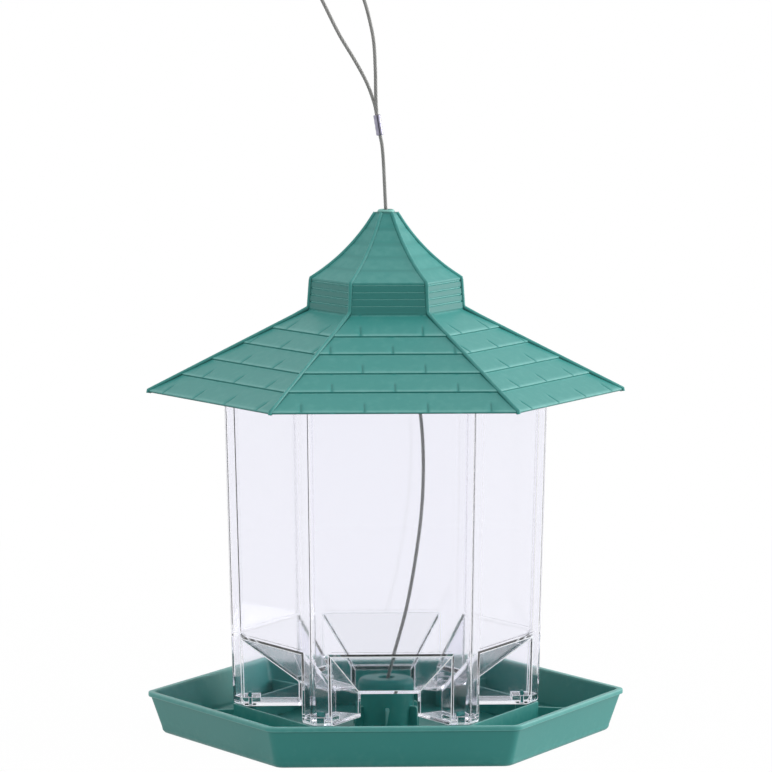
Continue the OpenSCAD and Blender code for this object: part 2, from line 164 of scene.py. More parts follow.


# One object from several parts, its place in its mesh. tones holds a value for each
# point: above 0 for a painted highlight on an edge or top, below 0 for painted shade in a groove, crease or
# under a lip.
def makePiece(name, parts, merge=0.0, sharp=35, tones=None, bevel=0.0, recalc=False):
    points, faces, start = [], [], 0
    for p, blocks in parts:
        points.append(p)
        for block in blocks:
            faces += (block + start).tolist()
        start += len(p)
    mesh = bpy.data.meshes.new(name)
    mesh.from_pydata((np.concatenate(points) * mm).tolist(), [], faces)
    if tones is not None:
        layer = mesh.attributes.new("tone", "FLOAT", "POINT")
        layer.data.foreach_set("value", np.asarray(tones, np.float32).ravel())
    if merge or recalc:
        work = bmesh.new()
        work.from_mesh(mesh)
        if merge:
            bmesh.ops.remove_doubles(work, verts=work.verts, dist=merge * mm)
            bmesh.ops.dissolve_degenerate(work, edges=work.edges, dist=merge * mm)
        if recalc:
            bmesh.ops.recalc_face_normals(work, faces=work.faces)
        work.to_mesh(mesh)
        work.free()
    mesh.polygons.foreach_set("use_smooth", np.ones(len(mesh.polygons), bool))
    mesh.set_sharp_from_angle(angle=math.radians(sharp))
    mesh.update()
    piece = bpy.data.objects.new(name, mesh)
    scene.collection.objects.link(piece)
    if bevel:
        soft = softenEdges(piece, bevel)
        soft.limit_method = "ANGLE"
        soft.angle_limit = math.radians(30)
    return piece


# The piece gets its finish, moves with a body and stands for CAD nodes
def place(piece, body, slotName, material, *nodes):
    piece.data.materials.clear()
    piece.data.materials.append(material)
    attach(piece, body)
    if nodes:
        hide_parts(*nodes)


# A number or colour on its way through the nodes. Sums and products of such
# values add the Math nodes that work them out.
class Value:
    def __init__(self, finish, socket):
        self.finish = finish
        self.socket = socket

    def math(self, operation, first, second):
        return self.finish.node("ShaderNodeMath", {"operation": operation}, {0: first, 1: second})

    def __add__(self, other):
        return self.math("ADD", self, other)

    def __radd__(self, other):
        return self.math("ADD", other, self)

    def __sub__(self, other):
        return self.math("SUBTRACT", self, other)

    def __rsub__(self, other):
        return self.math("SUBTRACT", other, self)

    def __mul__(self, other):
        return self.math("MULTIPLY", self, other)

    def __rmul__(self, other):
        return self.math("MULTIPLY", other, self)

    def above(self, floor):
        return self.math("MAXIMUM", self, floor)

    def below(self, ceiling):
        return self.math("MINIMUM", self, ceiling)

    def sine(self):
        return self.math("SINE", self, 0.0)

    # Another output of the same node
    def beside(self, output):
        return Value(self.finish, self.socket.node.outputs[output])


# The nodes of one material, or of the world
class Finish:
    def __init__(self, owner, outputKind="ShaderNodeOutputMaterial"):
        owner.use_nodes = True
        self.owner = owner
        self.tree = owner.node_tree
        self.tree.nodes.clear()
        self.out = self.tree.nodes.new(outputKind)

    # Any node: its type, its settings, then the values or links of its sockets.
    # Gives the output asked for.
    def node(self, kind, settings=None, sockets=None, output=0):
        n = self.tree.nodes.new(kind)
        for key, value in (settings or {}).items():
            setattr(n, key, value)
        for key, value in (sockets or {}).items():
            if isinstance(value, Value):
                self.tree.links.new(value.socket, n.inputs[key])
            else:
                n.inputs[key].default_value = value
        return Value(self, n.outputs[output])

    def mix(self, share, first, second):
        return self.node("ShaderNodeMix", {"data_type": "RGBA"}, {0: share, 6: first, 7: second}, 2)

    def noise(self, scale, detail):
        sockets = {"Vector": self.here(), "Scale": scale, "Detail": detail}
        return self.node("ShaderNodeTexNoise", None, sockets)

    # Where a point of the surface lies in the object's own frame
    def here(self):
        return self.node("ShaderNodeTexCoord", None, None, "Object")

    def attribute(self, name):
        return self.node("ShaderNodeAttribute", {"attribute_name": name}, None, "Fac")

    def bump(self, height, strength, distance):
        return self.node("ShaderNodeBump", None,
                         {"Height": height, "Strength": strength, "Distance": distance * mm})

    def show(self, shader):
        self.tree.links.new(shader.socket, self.out.inputs["Surface"])
        return self.owner

    def principled(self, **sockets):
        names = {key.replace("_", " "): value for key, value in sockets.items()}
        return self.show(self.node("ShaderNodeBsdfPrincipled", None, names))


# 0-255 colour as the eye reads it, turned to linear light
def colour(r, g, b):
    c = np.array([r, g, b]) / 255
    linear = np.where(c <= 0.04045, c / 12.92, ((c + 0.055) / 1.055) ** 2.4)
    return (*linear.tolist(), 1.0)


# A linear colour made lighter or darker, up to full white
def scaled(tint, share):
    return (*(min(share * c, 1) for c in tint[:3]), 1.0)


# A new material's nodes, with nothing in them yet
def newMaterial(name):
    return Finish(bpy.data.materials.new(name))


viewpoint = {
    "place": (-0.0858, -2.2267, 0.4096),
    "down": 6.032, "swing": -2.206,        # degrees below level, and turned about Z
    "lens": 209.9, "film": 36,
}

cameraData = bpy.data.cameras.new("camera")
cameraData.lens = viewpoint["lens"]
cameraData.sensor_width = viewpoint["film"]
cameraData.clip_end = 50
camera = bpy.data.objects.new("camera", cameraData)
camera.location = viewpoint["place"]
camera.rotation_euler = (math.radians(90 - viewpoint["down"]), 0, math.radians(viewpoint["swing"]))
scene.collection.objects.link(camera)
scene.camera = camera
print("camera placed")


rope = {
    "diameter": 1.8,
    "strands": 6,
    "lay": 9.6,            # length of one turn of a strand
    "valley": 0.66,        # lowest point between strands, as a share of the radius
    "spacing": 0.42,       # between rings
    "around": 36,
    "samples": 12,         # on the curve between two points of the route
    "route": [
        [0.8, 0, 15], [0.8, 0, 21], [0.8, 0, 27], [1.5, 0, 31], [4.4, 0, 41], [7.4, 0, 51.5],
        [10.3, 0, 63], [13.2, 0, 78], [15.4, 0, 92], [17.2, 0, 106], [18.3, 0, 120],
        [18.6, 0, 134], [18.2, 0, 148], [17, 0, 161], [14.6, 0, 177], [11.4, 0, 194],
        [7.9, 0, 212], [4.4, 0, 231], [1.5, 0, 248], [0, 0, 261], [-0.7, 0, 274],
        [-1.3, -0.1, 286], [-2, -0.5, 294], [-3, -1, 299], [-3.8, -1, 304], [-4.6, -1, 309],
        [-5.1, -1, 319], [-5.3, -1, 331], [-6.1, -0.9, 345], [-8.2, -0.8, 356],
        [-11, -0.7, 366], [-15, -0.5, 376], [-20, -0.3, 386], [-26, -0.1, 394],
        [-32.5, 0, 397.5], [-38, 0.2, 394.5], [-40.2, 0.3, 387], [-37.8, 0.5, 377],
        [-31.8, 0.6, 366], [-23.3, 0.7, 349], [-15.8, 0.8, 336.5], [-9.8, 0.9, 325.5],
        [-6, 1, 315.5], [-4.6, 1, 309], [-3.8, 1, 304], [-3.1, 1, 299.6]],
}


# Smooth curve through the points, n samples a stretch: with a, b, c, d four points
# in turn, (2b + (c - a)t + (2a - 5b + 4c - d)t^2 + (3b - a - 3c + d)t^3) / 2
def smoothLine(points, n):
    p = np.asarray(points, float)
    q = np.concatenate([p[:1], p, p[-1:]])
    a, b, c, d = (q[k:k + len(p) - 1, None, :] for k in range(4))
    t = (np.arange(n) / n)[None, :, None]
    line = (2 * b + (c - a) * t + (2 * a - 5 * b + 4 * c - d) * t ** 2 + (3 * b - a - 3 * c + d) * t ** 3) / 2
    return np.concatenate([line.reshape(-1, 3), p[-1:]])


# The line again with points evenly spaced along its length
def evenLine(line, spacing):
    along = np.concatenate([[0], np.cumsum(np.linalg.norm(np.diff(line, axis=0), axis=1))])
    s = np.linspace(0, along[-1], int(along[-1] / spacing) + 1)
    return np.stack([np.interp(s, along, line[:, k]) for k in range(3)], axis=-1), s


# Stranded outline: strand centres 2R/3 from the axis and R/3 in radius, so on a
# direction f from a strand's centre r = k cos f + sqrt(q^2 - k^2 sin^2 f). The
# outline turns once in each lay.
def ropeTube(line, s, o):
    radius = o["diameter"] / 2
    phi = np.arange(o["around"])[None, :] * 2 * math.pi / o["around"]
    sector = 2 * math.pi / o["strands"]
    f = (phi - 2 * math.pi * s[:, None] / o["lay"]) % sector - sector / 2
    k, q = radius * 2 / 3, radius / 3
    r = k * np.cos(f) + np.sqrt(np.maximum(q * q - (k * np.sin(f)) ** 2, 0))
    r = np.maximum(r, radius * o["valley"])
    t = np.gradient(line, axis=0)
    t /= np.linalg.norm(t, axis=1, keepdims=True)
    u = np.array([0, 1, 0]) - t[:, 1:2] * t
    u /= np.linalg.norm(u, axis=1, keepdims=True)
    v = np.cross(t, u)
    rings = (line[:, None, :] + (r * np.cos(phi))[..., None] * u[:, None, :]
             + (r * np.sin(phi))[..., None] * v[:, None, :])
    # groove becomes the tone: painted shade in the valleys between strands, 0 on the crowns and -1 at the
    # deepest
    groove = -(1 - (r / radius - o["valley"]) / (1 - o["valley"]))
    return rings, groove


# UV map along the rope: u goes once round it, and v counts turns of the lay
def windMap(piece, cols, along, lay):
    row = np.repeat(np.arange(len(along) - 1), cols)
    col = np.tile(np.arange(cols), len(along) - 1)
    u = np.stack([col, col + 1, col + 1, col], axis=-1) / cols
    v = along[np.stack([row, row, row + 1, row + 1], axis=-1)] / lay
    corners = np.zeros((len(piece.data.loops), 2))       # the end caps stay at nothing
    corners[:u.size] = np.stack([u, v], axis=-1).reshape(-1, 2)
    wind = piece.data.uv_layers.new(name="wind")
    wind.data.foreach_set("uv", corners.astype(np.float32).ravel())


ropeLine, ropeAlong = evenLine(smoothLine(rope["route"], rope["samples"]), rope["spacing"])
ropeRings, ropeValleyShade = ropeTube(ropeLine, ropeAlong, rope)
wireRope = makePiece("wireRope", [loft(ropeRings)], tones=ropeValleyShade, sharp=80)
windMap(wireRope, rope["around"], ropeAlong, rope["lay"])
print("rope length", round(float(ropeAlong[-1]), 1), "mm")

sleeve = {
    "low": 23, "high": 25,                       # the route's points at its two ends
    "wall": 0.8, "gap": 0.1, "endRound": 0.3,
    "strandY": 1.0, "spread": 3,                 # the strands' places, and how flat the oval's ends are
    "crimps": 3, "crimpDepth": 0.07, "crimpSharp": 1.6,
    "crease": 0.42, "creaseWide": 0.24, "creaseShade": -1.1,
    "around": 96, "rows": 46,
}


# Oval sleeve round two strands: point (q cos a, q sin a + Y) with Y running from
# one strand to the other, q less by crimpDepth (sine) over each crimp and by
# crease exp(-(cos a / wide)^2) down its front and its back.
def crimpedSleeve(o, diameter):
    low = np.array(rope["route"][o["low"]])
    axis = np.array(rope["route"][o["high"]]) - low
    length = np.linalg.norm(axis)
    axis /= length
    side = np.cross([0, 1, 0], axis)
    a = np.arange(o["around"]) * 2 * math.pi / o["around"]
    shift = o["strandY"] * np.clip(np.sin(a) * o["spread"], -1, 1)
    s = np.linspace(0, 1, o["rows"])
    edge = np.minimum(np.minimum(s, 1 - s) * length, o["endRound"])
    rounded = o["endRound"] - np.sqrt(o["endRound"] ** 2 - (o["endRound"] - edge) ** 2)
    wave = np.sin((s * (2 * o["crimps"] + 1) - 1) * math.pi)
    waist = o["crimpDepth"] * np.clip(wave * o["crimpSharp"], 0, 1)
    q = (diameter / 2 + o["gap"] + o["wall"]) - rounded - waist
    hollow = np.exp(-(np.cos(a) / o["creaseWide"]) ** 2)
    r = q[:, None] - o["crease"] * hollow[None, :]
    bore = np.full((2, o["around"]), diameter / 2 + o["gap"])
    r = np.concatenate([r, bore])[..., None]
    at = np.concatenate([s * length, [length, 0]])[:, None, None]
    rings = (np.array([low[0], 0, low[2]]) + at * axis + r * np.cos(a)[None, :, None] * side
             + (r * np.sin(a)[None, :, None] + shift[None, :, None]) * np.array([0, 1, 0]))
    # painted shade down the crease, through the tone
    outside = np.broadcast_to(o["creaseShade"] * hollow, (o["rows"], o["around"]))
    tone = np.concatenate([outside, np.zeros((2, o["around"]))])
    return loft(rings, loop=True), tone


sleevePart, sleeveTone = crimpedSleeve(sleeve, rope["diameter"])
loopSleeve = makePiece("loopSleeve", [sleevePart], tones=sleeveTone, sharp=50, recalc=True)

anchor = {
    "x": 0.8, "top": 26.9, "bore": 1.0,
    "washerR": 9.0, "washerT": 1.2, "washerEdge": 0.3,
    "stopR": 2.5, "stopLen": 9.0, "stopEdge": 0.5, "rings": 3, "ringDepth": 0.15,
}


# Flat washer: a rectangle with its outer corners rounded, turned about its axis
def washerProfile(o):
    low, high, e = o["top"] - o["washerT"], o["top"], o["washerEdge"]
    rim = arc(o["washerR"] - e, low + e, e, -90, 0) + arc(o["washerR"] - e, high - e, e, 0, 90)
    return [[o["bore"], low]] + rim + [[o["bore"] + e, high], [o["bore"], high - e]]


# Crimped stop: a cylinder whose radius dips by ringDepth (1 - cos) over each crimp
def stopProfile(o):
    high = o["top"] - o["washerT"]
    low = high - o["stopLen"]
    e = o["stopEdge"]
    z = np.linspace(low + e, high - e, 40)
    r = o["stopR"] - o["ringDepth"] * (1 - np.cos((z - z[0]) / (z[-1] - z[0]) * 2 * math.pi * o["rings"])) / 2
    side = np.stack([r, z], axis=-1).tolist()
    return ([[o["bore"], low]] + arc(o["stopR"] - e, low + e, e, -90, -15, 4) + side
            + arc(o["stopR"] - e, high - e, e, 15, 90, 4) + [[o["bore"], high]])


anchorWasher = makePiece("anchorWasher", [lathe(washerProfile(anchor), 72, (anchor["x"], 0))])
anchorStop = makePiece("anchorStop", [lathe(stopProfile(anchor), 48, (anchor["x"], 0))])
print("rope, sleeve, stop and washer made")


roof = {
    "rimZ": 189.0, "topR": 81.6, "seatGap": 0.2,    # the hopper's rim, and how far the roof sits off it
    "eaveR": 118.4, "skirtH": 40.7, "cupolaR": 38.8, "cupolaTopR": 37.4, "cupolaH": 15.1,
    "spireH": 32.7, "spireBend": 94.0, "tipR": 5.4, "wall": 1.8, "eaveLand": 0.4, "eaveH": 0.9,
    # eave tones: painted shade along the eave's lower edge
    "eaveRows": [(1, -0.9), (0.7, -0.8), (0.4, -0.5)],       # share of the eave's height, tone
    "courses": [0, 0.205, 0.394, 0.59, 0.772, 1],   # lower edges of the courses, up the slope
    "step": 0.78,                                   # how far a course stands off the one below
    # course tones: painted highlight along each course's lip and just under the next course, painted shade
    # where the next course's lip overhangs
    "courseRows": [                                 # share up the course, sink, joint depth, tone
        (0.0, 0.28, 0, 0.5), (0.012, 0.06, 0.5, 0.9), (0.035, 0.0, 1, 0.7), (0.12, 0.0, 1, 0.1),
        (0.28, 0.0, 1, 0), (0.4, 0, 0.9, 0), (0.46, 0, 0.25, 0), (0.55, 0, 0, 0), (0.72, 0, 0, 0),
        (0.9, 0, 0, 0), (0.955, -0.02, 0, 0.35), (0.985, -0.03, 0, 0.5), (1.0, 0.0, 0, -0.6),
    ],
    "across": 60, "column": 2.5, "margin": 1.5,     # half width, spacing and plain edge of the grid
    "joint": 15.1, "jointAt": 0.9,                  # half the length of a shingle, and where one joint lies
    # jointShade: painted shade in the grooves between shingles
    "jointHalf": 0.85, "jointDepth": 0.34, "jointShade": -0.4,
    "boards": 5, "boardPitch": 3.4, "boardDepth": 0.42,
    # board tones: a painted highlight line in each groove, painted shade either side of it
    "boardRows": [(-0.5, 0, -0.35), (-0.12, 1, -0.1), (0.12, 1, 2.2), (0.6, 0, -0.3)],   # up, depth, tone
    "spireRows": 30, "spireLines": 4, "spireLineDepth": 0.16, "spireLineWide": 0.12,
    "ringGap": 3.27, "ringDrop": 7.0, "bushR": 3.8,
    "cavityEnd": 0.72, "cavityRows": 6, "cavityWall": 1.7,   # the spire's hollow, and its wall in walls
    "ridgeHalf": 1.0, "ridgeHigh": 0.9, "ridgeSunk": 0.5, "ridgeRound": 14,
}


# Distances across a facet at which the grid has a column: evenly spaced, and five
# round each joint between shingles
def facetColumns(o):
    plain = np.arange(-o["across"], o["across"] + 0.1, o["column"])
    joints = o["jointAt"] + o["joint"] * np.arange(-4, 4)
    near = (joints[:, None] + o["jointHalf"] * np.array([-1, -0.5, 0, 0.5, 1])[None, :]).ravel()
    plain = plain[np.min(np.abs(plain[:, None] - joints[None, :]), axis=1) > o["jointHalf"] * 1.6]
    return np.sort(np.concatenate([plain, near]))


# Rise of the skirt's corner line for each millimetre it comes in
def skirtSlope(o):
    return o["skirtH"] / (o["eaveR"] - o["cupolaR"])


# Height of the skirt's underside at corner radius r: it rests on the hopper's rim at topR
def underSkirt(o, r):
    return o["rimZ"] + o["seatGap"] + (o["topR"] - r) * skirtSlope(o)


# Heights of the eave, the cupola, the spire and the tip. The wall is square to the
# facet, so upright it measures wall sqrt(1 + (slope / cos 30)^2).
def roofLevels(o):
    drop = o["wall"] * math.sqrt(1 + (skirtSlope(o) / flatRatio) ** 2)
    eaveZ = underSkirt(o, o["eaveR"]) + drop
    cupolaZ = eaveZ + o["skirtH"]
    spireZ = cupolaZ + o["cupolaH"]
    return eaveZ, cupolaZ, spireZ, spireZ + o["spireH"]


# Rows up the roof's outside are (corner radius, z, offset square to the facet, joint
# depth, tone, which joints). Skirt: a course stands off by nothing at its lower edge
# and sinks evenly by step at its upper edge, where the next one begins.
def skirtRows(o, eaveZ):
    rows = [(o["eaveR"], eaveZ - o["eaveH"] * share, 0, 0, tone, 0) for share, tone in o["eaveRows"]]
    run = o["eaveR"] - o["cupolaR"]
    count = len(o["courses"]) - 1
    for k in range(count):
        low, high = o["courses"][k:k + 2]
        for share, sink, joint, tone in o["courseRows"]:
            v = low + (high - low) * share
            meetsCupola = k == count - 1 and share == 1
            offset = 0 if meetsCupola else -o["step"] * share - sink
            rows.append((o["eaveR"] - run * v, eaveZ + o["skirtH"] * v, offset, joint, tone, (count - k) % 2))
    return rows


# Boards of the cupola: shallow grooves between them, depth falling to nothing either side. Tones paint a
# highlight line in each groove with shade either side, shade near the foot and a highlight near the top.
def cupolaRows(o, base):
    lines = [(0.35, 0, -0.1), (0.9, 0, -0.35)]
    for k in range(1, o["boards"]):
        lines += [(o["boardPitch"] * k + up, depth, tone) for up, depth, tone in o["boardRows"]]
    lines += [(o["cupolaH"] - 0.5, 0, 0.3)]
    taper = (o["cupolaTopR"] - o["cupolaR"]) / o["cupolaH"]
    return [(o["cupolaR"] + taper * z, base + z, -depth * o["boardDepth"], 0, tone, 0)
            for z, depth, tone in lines]


# Spire corner line: an arc of radius B, hollow side out. At a share t of its turn
# it has come in B (sin g - sin g0) and up B (cos g0 - cos g), g = g0 + turn t.
def spireArc(o, t):
    run = o["cupolaTopR"] - o["tipR"]
    half = math.asin(math.hypot(run, o["spireH"]) / 2 / o["spireBend"])
    g0 = math.atan2(o["spireH"], run) - half
    g = g0 + 2 * half * np.asarray(t)
    return o["spireBend"] * (np.sin(g) - math.sin(g0)), o["spireBend"] * (math.cos(g0) - np.cos(g))


# Spire: rows along the arc, with faint lines of depth exp(-(d / wide)^2), d the distance
# to the nearest line in spacings
def spireRows(o, base):
    share = np.linspace(0, 1, o["spireRows"])
    inward, upward = spireArc(o, share)
    spaced = share * (o["spireLines"] + 1)
    line = np.exp(-((spaced - np.round(spaced)) / o["spireLineWide"]) ** 2)
    line[[0, -1]] = 0
    # painted shade along the faint lines and under the bush's collar at the tip, the rest painted a little
    # lighter
    tone = 0.1 - 0.3 * line - 0.9 * (upward > 0.985 * o["spireH"])
    return [(o["cupolaTopR"] - a, base + b, -c * o["spireLineDepth"], 0, d, 0)
            for a, b, c, d in zip(inward, upward, line, tone)]


# One ring round the roof, moved out by dip. Facet point = apothem n + t w, with n the facet's
# direction, w across it and t clamped to half the side, r / 2.
def facetRing(r, z, t, dip):
    half = r / 2
    across = np.clip(t, -half, half)
    a = np.radians(30 + 60 * np.arange(6))[:, None]
    near = r * flatRatio + dip
    x = near * np.cos(a) - across * np.sin(a)
    y = near * np.sin(a) + across * np.cos(a)
    return np.stack([x.ravel(), y.ravel(), np.full(x.size, float(z))], axis=-1)


# Outside of the roof: one ring for each row, sunk square to the facet by its offset and
# by the V grooves between shingles, depth (1 - distance / half) within half of a joint
def roofOutside(o, levels, t):
    eaveZ, cupolaZ, spireZ = levels[:3]
    skirt = skirtRows(o, eaveZ)
    facetSlope = math.atan2(o["skirtH"], (o["eaveR"] - o["cupolaR"]) * flatRatio)
    joints = o["jointAt"] + o["joint"] * (2 * np.arange(-3, 4)[None, :] + np.array([[0], [1]]))
    rings, tones = [], []
    for index, row in enumerate(skirt + cupolaRows(o, cupolaZ) + spireRows(o, spireZ)):
        r, z, offset, joint, tone, which = row
        onSkirt = index < len(skirt)
        sideways, upright = (math.sin(facetSlope), math.cos(facetSlope)) if onSkirt else (1, 0)
        gap = np.min(np.abs(t[:, None] - joints[which][None, :]), axis=1)
        inside = np.abs(t) < r / 2 - o["margin"]
        groove = np.clip(1 - gap / o["jointHalf"], 0, 1) * joint * inside
        depth = offset - groove * o["jointDepth"]
        ring = facetRing(r, z, t[None, :], np.tile(depth * sideways, (6, 1)))
        ring[:, 2] += np.tile(depth * upright, 6)
        rings.append(ring)
        # near the joints the painted lip highlight is broken, and the joint grooves get painted shade
        broken = np.clip(1.4 - gap / o["jointHalf"], 0, 1) * inside * onSkirt
        tones.append(np.tile(tone * (1 - broken) + o["jointShade"] * groove, 6))
    return rings, tones


# Inside of the roof, from the tip down: the round bore, the hollow spire, the cupola,
# the skirt's underside with the ring that stands in the hopper, and the eave
def roofInside(o, levels, t):
    eaveZ, spireZ, tipZ = levels[0], levels[2], levels[3]
    inset = o["wall"] / flatRatio
    ringR = o["topR"] - o["ringGap"]
    ringZ = o["rimZ"] - o["ringDrop"]
    inward, upward = spireArc(o, np.linspace(o["cavityEnd"], 0.05, o["cavityRows"]))
    bore = [(o["bushR"] / flatRatio, tipZ), (o["bushR"] / flatRatio, spireZ + upward[0])]
    rest = [(o["cupolaTopR"] - a - o["cavityWall"] * o["wall"], spireZ + b) for a, b in zip(inward, upward)]
    rest += [(o["cupolaTopR"] - inset, spireZ - o["wall"] / 2)]
    rest += [(r, underSkirt(o, r)) for r in (o["cupolaR"] - inset, ringR - inset)]
    rest += [(ringR - inset, ringZ), (ringR, ringZ)]
    rest += [(r, underSkirt(o, r)) for r in (ringR, o["topR"] + 2)]
    rest += [(o["eaveR"] - o["eaveLand"], eaveZ - o["eaveH"])]
    rings = [facetRing(r, z, t[None, :], 0) for r, z in bore + rest]
    for ring in rings[:len(bore)]:
        ring[:, :2] *= o["bushR"] / np.hypot(ring[:, 0], ring[:, 1])[:, None]
    return rings, [np.zeros(len(ring)) for ring in rings]


levels = roofLevels(roof)
columns = facetColumns(roof)
outerRings, outerTones = roofOutside(roof, levels, columns)
innerRings, innerTones = roofInside(roof, levels, columns)
roofShell = makePiece("roofShell", [loft(outerRings + innerRings, loop=True)], merge=0.02,
                      tones=np.concatenate(outerTones + innerTones), sharp=28)


# Rib along a ridge: an oval of half width w and height h, carried along the
# corner's line, with its upright axis square to the line. Its top is painted with a faint highlight and its
# sides with shade.
def ridgeRib(o, levels):
    eaveZ, cupolaZ, spireZ = levels[:3]
    share = np.linspace(0, 1, 22)
    inward, upward = spireArc(o, share)
    straight = np.linspace(0, 1, 12)[:, None]
    eave = np.array([[o["eaveR"] + 0.05, eaveZ - 1.2]])
    skirt = np.array([o["eaveR"], eaveZ]) * (1 - straight) + np.array([o["cupolaR"], cupolaZ]) * straight
    skirt[-1] += [0.25, 0.2]
    cupola = np.array([[o["cupolaR"] - 0.3, cupolaZ + 1.5], [o["cupolaTopR"] + 0.2, spireZ - 1.2]])
    spire = np.stack([o["cupolaTopR"] - inward, spireZ + upward], axis=-1)
    spire[-1, 1] -= 0.3                    # ends just under the tip
    path = np.concatenate([eave, skirt, cupola, spire])
    t = np.gradient(path, axis=0)
    t /= np.linalg.norm(t, axis=1, keepdims=True)
    out = np.stack([t[:, 1], -t[:, 0]], axis=-1)
    a = np.arange(o["ridgeRound"]) * 2 * math.pi / o["ridgeRound"]
    lift = (o["ridgeHigh"] + o["ridgeSunk"]) * np.sin(a)[None, :] - o["ridgeSunk"]
    width = np.broadcast_to(o["ridgeHalf"] * np.cos(a)[None, :], (len(path), len(a)))
    x = path[:, :1] + out[:, :1] * lift
    z = path[:, 1:] + out[:, 1:] * lift
    rings = np.stack([x, width, z], axis=-1)
    tone = np.broadcast_to(np.where(np.sin(a) > 0.4, 0.15, -0.9), (len(path), len(a)))
    return loft(rings), tone


ribPart, ribTone = ridgeRib(roof, levels)
roofRibs = makePiece("roofRibs", sixTimes(ribPart), tones=np.tile(ribTone.ravel(), 6), sharp=60, recalc=True)

bush = {"bore": 3.1, "sleeve": 3.8, "sleeveH": 5.0, "collar": 4.3, "collarH": 1.3, "edge": 1.1, "lip": 0.35}


# Bush: a sleeve with a rounded collar on top, as one closed profile turned about Z
def bushProfile(o, tipZ):
    top = tipZ + o["collarH"]
    e, lip = o["edge"], o["lip"]
    low = [[o["bore"], tipZ - o["sleeveH"]], [o["sleeve"], tipZ - o["sleeveH"]], [o["sleeve"], tipZ],
           [o["collar"] - 0.15, tipZ], [o["collar"], tipZ + 0.15]]
    return low + arc(o["collar"] - e, top - e, e, 0, 90) + arc(o["bore"] + lip, top - lip, lip, 90, 180, 4)


tipBush = makePiece("tipBush", [lathe(bushProfile(bush, levels[3]), 72)], sharp=50)
print("roof made, tip at", round(levels[3], 2))


tray = {
    "rimR": 120.0, "bottomR": 113.0, "h": 21.1, "wall": 1.8, "corner": 5.0, "edge": 3.0,
    "lipOut": 1.5, "lipH": 2.4, "ribT": 1.2, "ribH": 10.5, "ribFall": 1.5, "rimRound": 0.6,
    "wellR": 77.0, "wellCorner": 3.0, "wellEdge": 0.3, "ledge": 14.6,
    "postR": 14.0, "postH": 29.0, "postWall": 2.0, "holeR": 4.2, "postEdge": 3.0,
    "footOut": 3.0, "footH": 1.4, "gussetOut": 4.0, "gussetT": 2.0, "gussetTop": 14.2,
    "slotAt": 68.0, "pedestalW": 8.4, "pedestalLen": 6.0, "tabW": 4.2, "tabT": 1.4, "barb": 0.7,
    "blockTop": 18.6,
    "sunk": 0.3,                           # how deep the ribs and the post stand in the floor
}


# Dish: rings out along the bottom, up the wall, round the lip, down the inside and
# back in along the floor, joined into one shell round the post's hole. Both bends
# are quarter circles of radius e: (e sin a, e - e cos a).
def dishPart(o):
    e, q, c = o["edge"], o["rimRound"], o["corner"]
    inset = o["wall"] / flatRatio
    wallR = o["rimR"] - o["lipOut"]
    low, high = o["bottomR"] - inset, wallR - inset
    lipZ = o["h"] - o["lipH"]
    bend = np.radians(np.linspace(0, 90, 9))
    insideBend = np.radians(np.linspace(0, 90, 7))
    # Tones paint a highlight along the bottom bend and round the rim, and shade under the lip and into the
    # floor's inner corner
    # corner radius, rounding, height, tone
    spots = [(o["bottomR"] - e - 0.8, c, 0, 0)]
    spots += [(o["bottomR"] - e + e * math.sin(a), c, e - e * math.cos(a), 0.1) for a in bend]
    spots += [(o["bottomR"] + 0.25, c, e + 0.8, 0), (wallR - 0.3, c, lipZ - 0.8, -0.1),
              (wallR, c, lipZ - 0.05, -0.8)]
    lip = [(o["rimR"] - 0.25, lipZ, 0.0), (o["rimR"], lipZ + 0.25, 0.6), (o["rimR"], lipZ + 0.7, 0.2),
           (o["rimR"], o["h"] - q - 0.2, 0.4), (o["rimR"] - 0.05, o["h"] - q * 0.6, 0.8),
           (o["rimR"] - 0.3 * q, o["h"] - 0.25 * q, 1.0), (o["rimR"] - q, o["h"], 1.0),
           (high + 0.9, o["h"], 0.8)]
    spots += [(r, c + o["lipOut"] - (o["rimR"] - r), z, tone) for r, z, tone in lip]
    spots += [(high + 0.3, c, o["h"] - 0.12, 0.9), (high, c, o["h"] - 0.5, 0.5),
              (high - 0.1, c, o["h"] - 1.5, 0), (low + 0.2, c, o["wall"] + e + 0.8, -0.1)]
    spots += [(low - e + e * math.cos(a), c, o["wall"] + e - e * math.sin(a), -0.2) for a in insideBend]
    spots += [(low - e - 0.8, c, o["wall"], 0)]
    like = hexRing(o["bottomR"], c, 0)
    hole = o["postR"] - o["postWall"] + 0.6
    rings = [roundRing(hole, 0, like)] + [hexRing(r, corner, z) for r, corner, z, tone in spots]
    rings.append(roundRing(hole, o["wall"], like))
    tones = [0] + [tone for r, corner, z, tone in spots] + [0]
    return loft(rings, loop=True), np.repeat(tones, len(rings[0]))


dishLoft, dishTones = dishPart(tray)
trayDish = makePiece("trayDish", [dishLoft], tones=dishTones, sharp=40)


# Thin six-sided wall: outline up the outside, over a rounded top, down the inside, its top painted with a
# highlight
def wellPart(o):
    out, inn, q = o["wellR"], o["wellR"] - o["ribT"] / flatRatio, o["wellEdge"]
    low = o["wall"] - o["sunk"]
    spots = [(out, low, 0), (out, o["ledge"] - q, 0.1), (out - 0.3 * q, o["ledge"] - 0.3 * q, 0.8),
             (out - q, o["ledge"], 1), (inn + q, o["ledge"], 1), (inn + 0.3 * q, o["ledge"] - 0.3 * q, 0.8),
             (inn, o["ledge"] - q, 0.1), (inn, low, 0)]
    rings = [hexRing(r, o["wellCorner"], z) for r, z, tone in spots]
    return loft(rings, loop=True), np.repeat([tone for r, z, tone in spots], len(rings[0]))


wellLoft, wellTones = wellPart(tray)
trayWell = makePiece("trayWell", [wellLoft], tones=wellTones, sharp=40)


